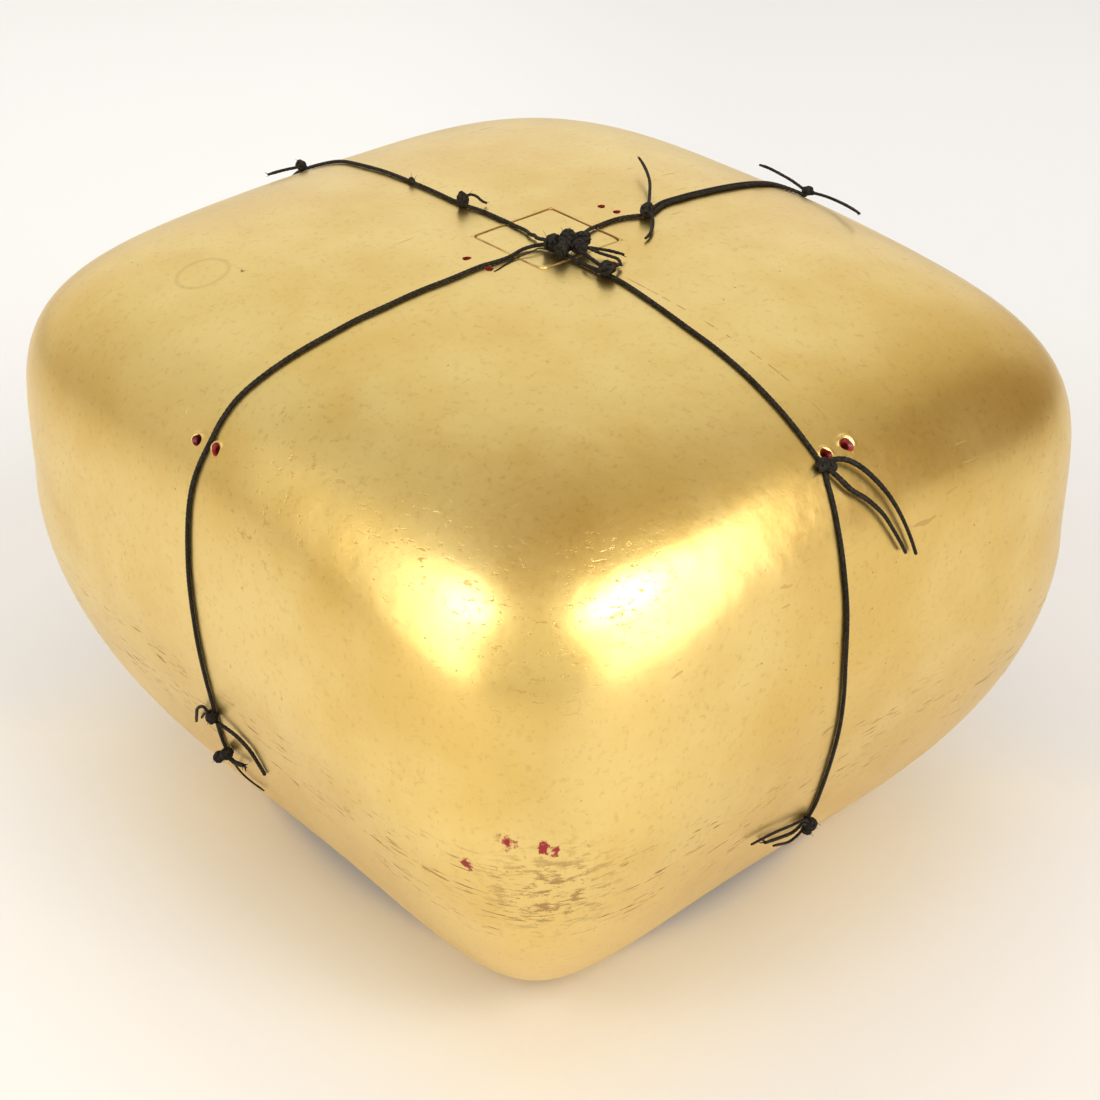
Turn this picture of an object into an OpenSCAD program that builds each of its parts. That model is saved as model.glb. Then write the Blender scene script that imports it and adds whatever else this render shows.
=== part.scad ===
// Gilded, rounded-square hollow shell, tied crosswise with thin waxed cord.
// +Z is up. The origin is on the ground plane, below the middle of the crown.
// -Y is the front, +X the right. Every cord lies a hair above the skin of the shell.

/* [Shell] */
// Width across X at the waist
shell_w = 300; // [260:5:340]
// Depth across Y at the waist
shell_d = 278; // [240:2:320]
// Height of the crown
shell_h = 215; // [195:5:235]
// Height of the waist, the widest level
waist_z = 129; // [115:1:140]
// Wall thickness
wall = 5; // [4:0.5:6]
// Height of the rim at the middle of each side, above the corner feet
rim_arch = 9; // [8:0.5:14]
// How far the corners hang below the middles of the sides, at the waist
corner_drop = 9.5; // [4:0.5:12]

/* [Profile] */
// Flatness of the crown
crown_power = 4.87; // [4:0.01:5.5]
// Fullness of the shoulder
shoulder_power = 2.76; // [2.4:0.01:3.2]
// Squareness of the plan at the crown
crown_square = 4.4; // [3.8:0.1:5]
// Squareness of the plan at the waist
waist_square = 5.1; // [4.4:0.1:5.8]
// Squareness of the plan at the rim
rim_square = 8; // [6:0.1:9]
// Fullness of the sides below the waist
side_power = 1.77; // [1.6:0.01:2]
// Depth below the ground at which the drawn-in sides would meet
side_depth = 46.5; // [40:0.5:55]

/* [Plaque] */
// Side of the square plaque
plaque_side = 34; // [28:1:36]
// Thickness of the plaque, and depth of its recess
plaque_t = 2.4; // [1.6:0.1:2.8]
// Gap round the plaque
plaque_gap = 0.3; // [0.2:0.05:0.5]
// How far the plaque is set to the right of the middle
plaque_x = 1.8; // [-2.5:0.1:2.5]
// How far the plaque is set behind the middle
plaque_y = 2; // [-2.5:0.1:2.5]

/* [Lacing holes] */
// Diameter of each lacing hole
hole_d = 2.8; // [2.4:0.1:3]

/* [Cord] */
// Diameter of the waxed cord
cord_d = 1.5; // [1.2:0.1:1.6]
// Air between the cord and the skin
cord_air = 0.3; // [0.2:0.05:0.5]

/* [Hidden] */

half_w = shell_w / 2;
aspect = shell_d / shell_w;
foot_cut = 1;
sectors = 72;
upper_rows = 14;
lower_rows = 8;
corner_crowding = 0.5;
// The four corners, handmade and unlike: back right, back left, front left, front right.
// The share of corner_drop that each droops by, and of the squareness that each keeps
CORNER_DROOPS = [0.85, -0.1, 0.4, 1.6];
CORNER_SQUARES = [1, 0.8, 0.95, 1];
tube_sides = 8;
ball_sides = 12;
ball_rings = 5;
cord_rest = cord_d / 2 + cord_air;
strand_gap = cord_d + 0.2;
probe = 0.002;

// Places on the skin are [angle, way, lift]: the plan angle in degrees from +X, the way down
// the profile (0 crown, 0.5 waist, 1 rim) and the height above where a cord rests.
// Pairs of lacing holes, each [angle, way, spacing of the two, turn about the normal]
HOLE_PAIRS = [[2.5, 0.062, 7.6, 0], [93.5, 0.072, 6.7, 7], [-87, 0.060, 10.6, -5], [-1.5, 0.280, 8.8, 0],
    [90, 0.300, 9, 0], [180, 0.290, 9, 0], [-90.7, 0.317, 9.4, 5]];

KNOT_CENTRE = [[-17, 0.027, 2.4], [4, 0.031, 3.4], [-8, 0.033, 2.5], [-19, 0.038, 2.4],
    [22, 0.034, 2.5], [2, 0.041, 2.4]];
KNOT_CROWN_LEFT = [-177, 0.072, 1.9];
KNOT_CROWN_RIGHT = [-5, 0.070, 2.2];
KNOT_CROWN_BACK = [76, 0.082, 2.1];
KNOT_LEFT_EDGE = [-179, 0.252, 1.8];
KNOT_RIGHT_SHOULDER = [-5.4, 0.288, 2];
KNOT_RIGHT_RIM = [1.5, 0.828, 1.9];
KNOT_BACK_EDGE = [86, 0.258, 1.8];
KNOT_FRONT_SIDE = [-94, 0.693, 1.7];
KNOT_FRONT_RIM = [-98.5, 0.8, 2.1];

LEFT = [[-177, 0.072, 0], [-179, 0.098, 0], [-180, 0.122, 0], [-181, 0.149, 0], [-181.5, 0.178, 0],
    [-182.5, 0.215, 0], [-181, 0.238, 0], [-179, 0.252, 0]];
CROWN_LEFT = [[-177, 0.072, 0], [-179, 0.057, 0], [-179, 0.042, 0], [-178, 0.028, 0],
    [-168, 0.012, 0.2], [-105, 0.005, 0.5], [-30, 0.011, 0.8], [-13, 0.022, 1.2]];
CROWN_RIGHT_NEAR = [[-14, 0.038, 1], [-11, 0.047, 0.4], [-8, 0.058, 0.2], [-6.5, 0.068, 0.2]];
CROWN_RIGHT_FAR = [[-1, 0.038, 1.2], [-1, 0.046, 1.6], [-1.5, 0.058, 0.8], [-2.5, 0.068, 0.2]];
RIGHT = [[-4.5, 0.070, 0], [-4, 0.084, 0], [-4.8, 0.109, 0], [-5.3, 0.137, 0], [-5.2, 0.161, 0],
    [-5.3, 0.189, 0], [-5.5, 0.221, 0], [-5.5, 0.259, 0], [-5.2, 0.288, 0]];
RIGHT_SIDE = [[-5.2, 0.288, 0], [-5.8, 0.310, 0], [-6.2, 0.352, 0], [-5.8, 0.399, 0], [-4.8, 0.456, 0],
    [-4.2, 0.520, 0], [-3.2, 0.6, 0], [-2.2, 0.680, 0], [-1, 0.740, 0], [0.5, 0.790, 0],
    [1.5, 0.828, 0]];
FRONT = [[-24, 0.025, 1.2], [-34, 0.019, 0.8], [-52, 0.019, 0.4], [-68, 0.027, 0.1], [-73, 0.042, 0],
    [-78, 0.054, 0], [-81.5, 0.064, 0], [-84, 0.087, 0], [-86, 0.108, 0], [-87, 0.131, 0],
    [-88, 0.152, 0], [-88.5, 0.174, 0], [-89.2, 0.198, 0], [-89.8, 0.225, 0], [-90.3, 0.256, 0],
    [-90.2, 0.283, 0], [-90, 0.312, 0], [-90.4, 0.340, 0], [-91, 0.374, 0], [-91.8, 0.436, 0],
    [-92.2, 0.478, 0], [-92, 0.520, 0], [-92.3, 0.590, 0], [-93, 0.650, 0], [-94, 0.693, 0]];
FRONT_LINK = [[-94, 0.693, 0], [-95.5, 0.730, 0], [-97, 0.765, 0], [-98.5, 0.8, 0]];
CROWN_BACK = [[50, 0.029, 1], [66, 0.038, 0.3], [75, 0.052, 0], [78, 0.066, 0], [76, 0.082, 0]];
BACK = [[76, 0.082, 0], [83, 0.101, 0], [85, 0.122, 0], [86, 0.145, 0], [87, 0.171, 0], [88, 0.201, 0],
    [88.5, 0.232, 0], [86, 0.258, 0]];

LEFT_DOWN = [[-179, 0.252, 0], [-180, 0.290, 0], [-180, 0.360, 0], [-180, 0.430, 0], [-181, 0.520, 0],
    [-180, 0.620, 0], [-180, 0.740, 0], [-179, 0.860, 0], [-179, 0.960, 0], [-179, 1, 0]];
BACK_DOWN = [[86, 0.258, 0], [89.5, 0.290, 0], [90, 0.360, 0], [90, 0.440, 0], [90, 0.520, 0],
    [91, 0.620, 0], [90, 0.740, 0], [90, 0.860, 0], [90, 0.960, 0], [90, 1, 0]];
// Single holes behind the two lowest knots, where the hidden cords come out through the wall
KNOT_HOLES = [[1.5, 0.828], [-98.5, 0.8]];

TAIL_RIGHT_UPPER = [[-5, 0.286, 1.2], [-3.2, 0.289, 1.6], [-1.7, 0.295, 1.8], [0, 0.309, 1.8],
    [2, 0.335, 1.6], [3.5, 0.359, 1.4], [5.2, 0.390, 1.2], [7, 0.423, 1]];
TAIL_RIGHT_LOWER = [[-5, 0.293, 1.2], [-4.2, 0.305, 1.2], [-3, 0.322, 1.3], [-1.2, 0.337, 1.4],
    [1, 0.360, 1.4], [2.7, 0.384, 1.2], [5, 0.416, 1]];
TAIL_FRONT = [[-93.7, 0.702, 1.2], [-91.7, 0.704, 0.7], [-89.7, 0.709, 0.3], [-87.7, 0.721, 0.2],
    [-87.2, 0.742, 0.1], [-87.2, 0.760, 0], [-87.2, 0.770, 0]];
TAILS_CROWN_LEFT = [[[-178, 0.072, 2.2], [-182, 0.071, 3], [-184.5, 0.068, 2.5], [-186, 0.065, 1.3],
    [-188.5, 0.063, 0.4]]];
TAILS_CROWN_RIGHT = [[[-4, 0.070, 2], [1, 0.071, 1.8], [8, 0.068, 0.8]]];
TAILS_CROWN_BACK = [[[77, 0.083, 2], [88, 0.099, 2.5], [98, 0.117, 3], [108, 0.135, 4]],
    [[75, 0.081, 2], [68, 0.077, 1.4], [57, 0.068, 0.6], [47, 0.061, 0.4]]];
TAILS_CENTRE = [[[8, 0.044, 2.2], [14, 0.051, 1.6], [18, 0.057, 1.2], [20, 0.061, 1]],
    [[24, 0.035, 2.6], [32, 0.037, 2.6], [40, 0.037, 2.2]]];
TAILS_LEFT_EDGE = [[[-179, 0.252, 1.2], [-176, 0.257, 2], [-173.5, 0.265, 2.5]]];
TAILS_BACK_EDGE = [[[86, 0.257, 1.5], [89, 0.251, 3], [91.5, 0.240, 4], [91.5, 0.218, 5]],
    [[86, 0.258, 1.5], [82.5, 0.256, 2.5], [77, 0.243, 3], [69.5, 0.222, 3.5]]];
TAILS_RIGHT_RIM = [[[1, 0.824, 1.5], [-4.8, 0.797, 1], [-10.2, 0.769, 0.9], [-15.5, 0.738, 0.8]],
    [[1, 0.832, 1.5], [-3, 0.814, 1], [-8, 0.797, 0.8], [-11, 0.785, 0.6]]];
TAILS_FRONT_SIDE = [[[-94, 0.688, 1.9], [-94.2, 0.672, 2.5], [-96.5, 0.689, 2.5], [-99, 0.719, 1.9],
    [-102, 0.752, 0.9]]];
TAILS_FRONT_RIM = [[[-98.5, 0.806, 1.5], [-97, 0.806, 1.2], [-94, 0.796, 0.8], [-91.5, 0.784, 0.6]]];

GOLD = "goldenrod";
PALE_GOLD = "khaki";
BLACK = "dimgray";

function unit(v) = v / norm(v);
function clamp01(t) = min(max(t, 0), 1);
// Spreads the rows evenly over the tight shoulder and the flat crown
function eased(t) = (1 - t) * pow(t, 1.5) + t * (1 - pow(1 - t, 2.3));
function plan_radius(a, n) = pow(pow(abs(cos(a)), n) + pow(abs(sin(a)), n), -1 / n);
function quarter(a) = floor((a - 360 * floor(a / 360)) / 90);
function rim_height(a) = max(0, (rim_arch + foot_cut) * pow(cos(2 * a), 2) - foot_cut);

// The outer skin: a superellipse in plan and in profile, drawn in below the waist
function skin(a, way) =
    let (
        above = way <= 0.5,
        turn = 90 * eased(clamp01(2 * way)),
        spread = pow(sin(turn), 2 / shoulder_power),
        level = above
            ? waist_z + (shell_h - waist_z) * pow(max(cos(turn), 0), 2 / crown_power)
            : waist_z + (rim_height(a) - waist_z) * (2 * way - 1),
        below = (waist_z - level) / waist_z,
        sunk = clamp01((waist_z - level) / (waist_z + side_depth)),
        corner = quarter(a),
        level_square = above
            ? crown_square + (waist_square - crown_square) * pow(spread, 2)
            : waist_square + (rim_square - waist_square) * below,
        square = CORNER_SQUARES[corner] * level_square,
        shrink = above ? spread : pow(1 - pow(sunk, side_power), 1 / side_power),
        r = half_w * shrink * plan_radius(a, square),
        droop = corner_drop * CORNER_DROOPS[corner] * pow(sin(2 * a), 2),
        sag = droop * (above ? pow(sin(turn), 2) : 1 - below)
    )
    [r * cos(a), aspect * r * sin(a), level - sag];

function skin_normal(a, way) =
    let (
        w = min(max(way, 2 * probe), 1 - 2 * probe),
        across = skin(a + 0.5, w) - skin(a - 0.5, w),
        up = skin(a, w - probe) - skin(a, w + probe)
    )
    unit(cross(across, up));

// The inner skin: one wall inside, and level with the outer one along the rim
function inner_skin(a, way) =
    let (n = skin_normal(a, way), flat = [n[0], n[1], 0])
    way <= 0.5 ? skin(a, way) - wall * n : skin(a, way) - wall / (flat * flat) * flat;

// Sector angles crowd towards the corners, where the plan turns fastest
function sector_angle(j) =
    let (t = 360 * j / sectors) t + corner_crowding * sin(4 * t) * 180 / PI / 4;

function rows_down() = concat(
    [for (i = [1 : upper_rows]) 0.5 * i / upper_rows],
    [for (i = [1 : lower_rows]) 0.5 + 0.5 * i / lower_rows]);

module hollow_body() {
    down = rows_down();
    rows = len(down);
    outer = [for (i = [0 : rows - 1]) for (j = [0 : sectors - 1]) skin(sector_angle(j), down[i])];
    inner = [for (i = [rows - 1 : -1 : 0]) for (j = [0 : sectors - 1]) inner_skin(sector_angle(j), down[i])];
    crown = len(outer) + len(inner);
    last = 2 * rows - 1;
    polyhedron(
        points = concat(outer, inner, [[0, 0, shell_h], [0, 0, shell_h - wall]]),
        faces = concat(
            [for (i = [0 : last - 1]) for (j = [0 : sectors - 1])
                [i * sectors + j, i * sectors + (j + 1) % sectors, (i + 1) * sectors + (j + 1) % sectors]],
            [for (i = [0 : last - 1]) for (j = [0 : sectors - 1])
                [i * sectors + j, (i + 1) * sectors + (j + 1) % sectors, (i + 1) * sectors + j]],
            [for (j = [0 : sectors - 1]) [crown, (j + 1) % sectors, j]],
            [for (j = [0 : sectors - 1])
                [crown + 1, last * sectors + j, last * sectors + (j + 1) % sectors]]),
        convexity = 6);
}

// Holes along the skin's normal at a place, set to each side of it by offsets
module holes(angle, way, offsets, turn = 0) {
    n = skin_normal(angle, way);
    translate(skin(angle, way))
        rotate([0, acos(n[2]), atan2(n[1], n[0])])
            rotate([0, 0, turn])
                for (offset = offsets)
                    translate([0, offset, 0])
                        cylinder(d = hole_d, h = 4 * wall, center = true, $fn = 24);
}

module shell() {
    color(GOLD) difference() {
        hollow_body();
        translate([plaque_x, plaque_y, shell_h - plaque_t + wall]) cube(
            [plaque_side + 2 * plaque_gap, plaque_side + 2 * plaque_gap, 2 * wall], center = true);
        for (p = HOLE_PAIRS) holes(p[0], p[1], [-p[2] / 2, p[2] / 2], p[3]);
        for (p = KNOT_HOLES) holes(p[0], p[1], [0]);
    }
}

module crown_plaque() {
    color(PALE_GOLD) translate([plaque_x, plaque_y, shell_h - plaque_t / 2])
        cube([plaque_side, plaque_side, plaque_t], center = true);
}

// A place on the skin, with the cord's own rest height and any lift added
function on_skin(place) =
    skin(place[0], place[1]) + (cord_rest + place[2]) * skin_normal(place[0], place[1]);

// Puts steps places between each two places of a route
function finer(route, steps) = concat(
    [for (i = [0 : len(route) - 2]) for (k = [0 : steps - 1])
        route[i] + (route[i + 1] - route[i]) * k / steps],
    [route[len(route) - 1]]);

// The centre line of a cord on the skin, moved sideways by shift
function line_on_skin(route, steps, shift = 0) =
    let (
        places = finer(route, steps),
        points = [for (p = places) on_skin(p)],
        along = headings(points)
    )
    [for (i = [0 : len(points) - 1])
        points[i] + shift * unit(cross(along[i], skin_normal(places[i][0], places[i][1])))];

function headings(points) =
    let (last = len(points) - 1)
    [for (i = [0 : last]) unit(points[min(i + 1, last)] - points[max(i - 1, 0)])];

function carried(v, along) = unit(v - (v * along) * along);

// Turns a side vector along the line with the least twist
function sides_along(along, i, v) =
    i == len(along) ? [] : let (w = carried(v, along[i])) concat([w], sides_along(along, i + 1, w));

module tube(points, d = cord_d) {
    along = headings(points);
    first = abs(along[0][2]) < 0.8 ? [0, 0, 1] : [1, 0, 0];
    side = sides_along(along, 0, first);
    last = len(points) - 1;
    n = tube_sides;
    polyhedron(
        points = [for (i = [0 : last]) for (k = [0 : n - 1])
            let (c = cos(360 * k / n), s = sin(360 * k / n))
            points[i] + d / 2 * (c * side[i] + s * cross(along[i], side[i]))],
        faces = concat(
            [[for (k = [0 : n - 1]) k]],
            [for (i = [0 : last - 1]) for (k = [0 : n - 1])
                [i * n + k, (i + 1) * n + k, (i + 1) * n + (k + 1) % n]],
            [for (i = [0 : last - 1]) for (k = [0 : n - 1])
                [i * n + k, (i + 1) * n + (k + 1) % n, i * n + (k + 1) % n]],
            [[for (k = [n - 1 : -1 : 0]) last * n + k]]),
        convexity = 10);
}

module cord(route, steps = 2) {
    color(BLACK) tube(line_on_skin(route, steps));
}

module doubled_cord(route, steps = 2) {
    color(BLACK) for (side = [-0.5, 0.5]) tube(line_on_skin(route, steps, side * strand_gap));
}

// From low, straight up inside the shell, round a bend and out through the hole at place
function through_wall(place, low) =
    let (
        n = skin_normal(place[0], place[1]),
        mouth = skin(place[0], place[1]),
        bend = mouth - 12 * n,
        lead = bend - 10 * unit(bend - low),
        inner = mouth - 6 * n
    )
    concat(
        [for (t = [0.25, 0.5, 0.75, 1]) low + t * (lead - low)],
        [for (t = [0.25, 0.5, 0.75])
            (1 - t) * (1 - t) * lead + 2 * t * (1 - t) * bend + t * t * inner],
        [inner, mouth - 3 * n, mouth, mouth + 1.5 * n]);

// Down one face, under the rim and up inside the shell to a knot on the opposite face
module cord_under(down, rim, place) {
    z = rim[2] - cord_rest;
    edge = [for (f = [0.97, 0.93]) [f * rim[0], f * rim[1], z]];
    color(BLACK) tube(concat(line_on_skin(down, 2), edge, through_wall(place, edge[1])));
}

module tails(routes) {
    color(BLACK) for (route = routes) tube(line_on_skin(route, 2), 0.9 * cord_d);
}

// A faceted ball
module ball(r) {
    n = ball_sides;
    rings = ball_rings;
    polyhedron(
        points = concat(
            [[0, 0, r]],
            [for (i = [1 : rings]) for (k = [0 : n - 1])
                let (down = 180 * i / (rings + 1), turn = 360 * k / n)
                r * [sin(down) * cos(turn), sin(down) * sin(turn), cos(down)]],
            [[0, 0, -r]]),
        faces = concat(
            [for (k = [0 : n - 1]) [0, 1 + (k + 1) % n, 1 + k]],
            [for (i = [0 : rings - 2]) for (k = [0 : n - 1])
                [1 + i * n + k, 1 + i * n + (k + 1) % n, 1 + (i + 1) * n + (k + 1) % n]],
            [for (i = [0 : rings - 2]) for (k = [0 : n - 1])
                [1 + i * n + k, 1 + (i + 1) * n + (k + 1) % n, 1 + (i + 1) * n + k]],
            [for (k = [0 : n - 1])
                [1 + rings * n, 1 + (rings - 1) * n + k, 1 + (rings - 1) * n + (k + 1) % n]]),
        convexity = 2);
}

// A knot and its short tails, with the cords that run into it cut out
module knot(balls, r, tail_routes = []) {
    color(BLACK) difference() {
        union() {
            for (at = balls) translate(on_skin(at)) ball(r);
            tails(tail_routes);
        }
        children();
    }
}

module cord_left() cord(LEFT);
module cord_crown_left() cord(CROWN_LEFT, 4);
module cord_crown_right() {
    cord(CROWN_RIGHT_NEAR, 3);
    cord(CROWN_RIGHT_FAR, 3);
}

module cord_right() cord(RIGHT);
module cord_right_side() cord(RIGHT_SIDE, 3);
module cord_front() cord(FRONT);
module cord_front_link() cord(FRONT_LINK);
module cord_crown_back() cord(CROWN_BACK, 3);
module cord_back() doubled_cord(BACK);

module cord_left_under() cord_under(LEFT_DOWN, skin(180, 1), KNOT_HOLES[0]);
module cord_back_under() cord_under(BACK_DOWN, skin(90, 1), KNOT_HOLES[1]);

module tail_right_upper() cord(TAIL_RIGHT_UPPER);
module tail_right_lower() cord(TAIL_RIGHT_LOWER);
module tail_front() cord(TAIL_FRONT, 3);

module knot_centre() knot(KNOT_CENTRE, 3.2, TAILS_CENTRE) {
    cord_crown_left();
    cord_crown_right();
    cord_front();
    cord_crown_back();
}

module knot_crown_left() knot([KNOT_CROWN_LEFT], 2.6, TAILS_CROWN_LEFT) {
    cord_left();
    cord_crown_left();
}

module knot_crown_right() knot([KNOT_CROWN_RIGHT], 3, TAILS_CROWN_RIGHT) {
    cord_crown_right();
    cord_right();
}

module knot_crown_back() knot([KNOT_CROWN_BACK], 2.6, TAILS_CROWN_BACK) {
    cord_crown_back();
    cord_back();
}

module knot_left_edge() knot([KNOT_LEFT_EDGE], 2.4, TAILS_LEFT_EDGE) {
    cord_left();
    cord_left_under();
}

module knot_right_shoulder() knot([KNOT_RIGHT_SHOULDER], 2.9) {
    cord_right();
    cord_right_side();
    tail_right_upper();
    tail_right_lower();
}

module knot_right_rim() knot([KNOT_RIGHT_RIM], 2.8, TAILS_RIGHT_RIM) {
    cord_right_side();
    cord_left_under();
}

module knot_back_edge() knot([KNOT_BACK_EDGE], 2.4, TAILS_BACK_EDGE) {
    cord_back();
    cord_back_under();
}

module knot_front_side() knot([KNOT_FRONT_SIDE], 2.6, TAILS_FRONT_SIDE) {
    cord_front();
    cord_front_link();
    tail_front();
}

module knot_front_rim() knot([KNOT_FRONT_RIM], 3, TAILS_FRONT_RIM) {
    cord_front_link();
    cord_back_under();
}

shell();
crown_plaque();
cord_left();
cord_left_under();
cord_crown_left();
cord_crown_right();
cord_right();
cord_right_side();
cord_front();
cord_front_link();
cord_crown_back();
cord_back();
cord_back_under();
tail_right_upper();
tail_right_lower();
tail_front();
knot_centre();
knot_crown_left();
knot_crown_right();
knot_crown_back();
knot_left_edge();
knot_right_shoulder();
knot_right_rim();
knot_back_edge();
knot_front_side();
knot_front_rim();
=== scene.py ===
import math

import bpy
import numpy as np
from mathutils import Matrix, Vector


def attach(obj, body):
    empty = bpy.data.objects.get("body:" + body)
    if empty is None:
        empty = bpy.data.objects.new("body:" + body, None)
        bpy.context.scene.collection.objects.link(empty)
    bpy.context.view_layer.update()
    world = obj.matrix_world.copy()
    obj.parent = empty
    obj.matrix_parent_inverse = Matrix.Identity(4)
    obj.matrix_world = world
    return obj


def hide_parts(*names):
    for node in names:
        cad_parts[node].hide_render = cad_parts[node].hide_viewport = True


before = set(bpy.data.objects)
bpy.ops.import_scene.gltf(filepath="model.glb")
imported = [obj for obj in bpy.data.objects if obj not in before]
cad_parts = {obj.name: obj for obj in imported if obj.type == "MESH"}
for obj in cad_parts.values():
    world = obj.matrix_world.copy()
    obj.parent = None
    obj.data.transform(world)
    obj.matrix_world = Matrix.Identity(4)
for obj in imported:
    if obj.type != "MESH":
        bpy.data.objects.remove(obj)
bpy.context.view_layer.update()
MM = 0.001
RNG = np.random.default_rng(11)

# ---------------------------------------------------------------- camera
# round from the front face, up from the floor, and away from the target in metres
AZIMUTH, ELEVATION, DISTANCE = math.radians(48.371), math.radians(31.4032), 0.7885
TARGET = Vector((0, 0, 0.1077))
TO_CAMERA = Vector((math.sin(AZIMUTH) * math.cos(ELEVATION),
                    -math.cos(AZIMUTH) * math.cos(ELEVATION), math.sin(ELEVATION)))
camera = bpy.data.objects.new("camera", bpy.data.cameras.new("camera"))
bpy.context.scene.collection.objects.link(camera)
camera.location = TARGET + DISTANCE * TO_CAMERA
camera.rotation_euler = (-TO_CAMERA).to_track_quat("-Z", "Y").to_euler()
camera.data.sensor_width = 36
camera.data.lens = 73.62
camera.data.shift_x = 0.0105
camera.data.shift_y = -0.0281
camera.data.clip_start = 0.01
bpy.context.scene.camera = camera

# ---------------------------------------------------------------- the skin, in mm
SHELL_W, SHELL_D, SHELL_H, WAIST_Z, WALL = 300, 278, 215, 129, 5
RIM_ARCH, FOOT_CUT, CORNER_DROP = 9, 1, 9.5
CROWN_POWER, SHOULDER_POWER = 4.87, 2.76
CROWN_SQUARE, WAIST_SQUARE, RIM_SQUARE = 4.4, 5.1, 8
SIDE_POWER, SIDE_DEPTH = 1.77, 46.5
PLAQUE_SIDE, PLAQUE_T, PLAQUE_GAP = 34, 2.4, 0.3
PLAQUE_X, PLAQUE_Y = 1.8, 2
CORNER_R = 2.2
HOLE_R = 1.35
# a cord's declared diameter, the twisted strand that stands for it, and its centre's height
CORD_D, TWIST_D = 1.5, 1.36
CORD_REST = TWIST_D / 2 + 0.05
STRAND_GAP = CORD_D + 0.2
# how far along the profile the slope is probed
PROBE = 0.002
# The four handmade corners: back right, back left, front left, front right
CORNER_DROOPS = np.array([0.85, -0.1, 0.4, 1.6])
CORNER_SQUARES = np.array([1, 0.8, 0.95, 1])


def eased(t):
    """The way along the profile, spread so that the shoulder gets an even share."""
    return (1 - t) * t ** 1.5 + t * (1 - (1 - t) ** 2.3)


def skin(a, way):
    """Points of the outer skin at plan angles a (degrees) and ways down the profile."""
    a, way = np.broadcast_arrays(np.asarray(a, float), np.asarray(way, float))
    corner = np.floor(a / 90).astype(int) % 4
    a = np.radians(a)
    above = way <= 0.5
    bend = np.radians(90 * eased(np.clip(2 * way, 0, 1)))
    spread = np.sin(bend) ** (2 / SHOULDER_POWER)
    rim = np.maximum(0, (RIM_ARCH + FOOT_CUT) * np.cos(2 * a) ** 2 - FOOT_CUT)
    crown = WAIST_Z + (SHELL_H - WAIST_Z) * np.maximum(np.cos(bend), 0) ** (2 / CROWN_POWER)
    level = np.where(above, crown, WAIST_Z + (rim - WAIST_Z) * (2 * way - 1))
    below = (WAIST_Z - level) / WAIST_Z
    sunk = np.clip((WAIST_Z - level) / (WAIST_Z + SIDE_DEPTH), 0, 1)
    square = np.where(above, CROWN_SQUARE + (WAIST_SQUARE - CROWN_SQUARE) * spread ** 2,
                      WAIST_SQUARE + (RIM_SQUARE - WAIST_SQUARE) * below)
    square = square * CORNER_SQUARES[corner]
    shrink = np.where(above, spread, (1 - sunk ** SIDE_POWER) ** (1 / SIDE_POWER))
    plan = (np.abs(np.cos(a)) ** square + np.abs(np.sin(a)) ** square) ** (-1 / square)
    r = SHELL_W / 2 * shrink * plan
    droop = CORNER_DROP * CORNER_DROOPS[corner] * np.sin(2 * a) ** 2
    sag = droop * np.where(above, np.sin(bend) ** 2, 1 - below)
    return np.stack([r * np.cos(a), SHELL_D / SHELL_W * r * np.sin(a), level - sag], -1)


def unit(v):
    return v / np.maximum(np.linalg.norm(v, axis=-1, keepdims=True), 1e-12)


def skin_normal(a, way):
    """Outward unit normals of the outer skin."""
    a = np.asarray(a, float)
    w = np.clip(np.asarray(way, float), 2 * PROBE, 1 - 2 * PROBE)
    across = skin(a + 0.5, w) - skin(a - 0.5, w)
    up = skin(a, w - PROBE) - skin(a, w + PROBE)
    return unit(np.cross(across, up))


def inner_skin(a, way):
    """The inner face: a wall's thickness in along the normal, or sideways below the waist."""
    n = skin_normal(a, way)
    flat = n * np.array([1, 1, 0])
    sideways = WALL / np.sum(flat * flat, -1, keepdims=True).clip(1e-3) * flat
    upper = (np.asarray(way) <= 0.5)[..., None]
    return np.where(upper, skin(a, way) - WALL * n, skin(a, way) - sideways)


def on_skin(places):
    """Cord centres at places [angle, way, lift] on the skin, and the normals there."""
    p = np.asarray(places, float)
    n = skin_normal(p[:, 0], p[:, 1])
    return skin(p[:, 0], p[:, 1]) + (CORD_REST + p[:, 2:3]) * n, n


# ---------------------------------------------------------------- cord routes, as in the CAD
LEFT = [[-177, 0.072, 0], [-179, 0.098, 0], [-180, 0.122, 0], [-181, 0.149, 0],
        [-181.5, 0.178, 0], [-182.5, 0.215, 0], [-181, 0.238, 0], [-179, 0.252, 0]]
CROWN_LEFT = [[-177, 0.072, 0], [-179, 0.057, 0], [-179, 0.042, 0], [-178, 0.028, 0],
              [-168, 0.012, 0.2], [-105, 0.005, 0.5], [-30, 0.011, 0.8], [-13, 0.022, 1.2]]
CROWN_RIGHT_NEAR = [[-14, 0.038, 1], [-11, 0.047, 0.4], [-8, 0.058, 0.2], [-6.5, 0.068, 0.2]]
CROWN_RIGHT_FAR = [[-1, 0.038, 1.2], [-1, 0.046, 1.6], [-1.5, 0.058, 0.8], [-2.5, 0.068, 0.2]]
RIGHT = [[-4.5, 0.070, 0], [-4, 0.084, 0], [-4.8, 0.109, 0], [-5.3, 0.137, 0], [-5.2, 0.161, 0],
         [-5.3, 0.189, 0], [-5.5, 0.221, 0], [-5.5, 0.259, 0], [-5.2, 0.288, 0]]
RIGHT_SIDE = [[-5.2, 0.288, 0], [-5.8, 0.310, 0], [-6.2, 0.352, 0], [-5.8, 0.399, 0],
              [-4.8, 0.456, 0], [-4.2, 0.520, 0], [-3.2, 0.6, 0], [-2.2, 0.680, 0],
              [-1, 0.740, 0], [0.5, 0.790, 0], [1.5, 0.828, 0]]
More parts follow.
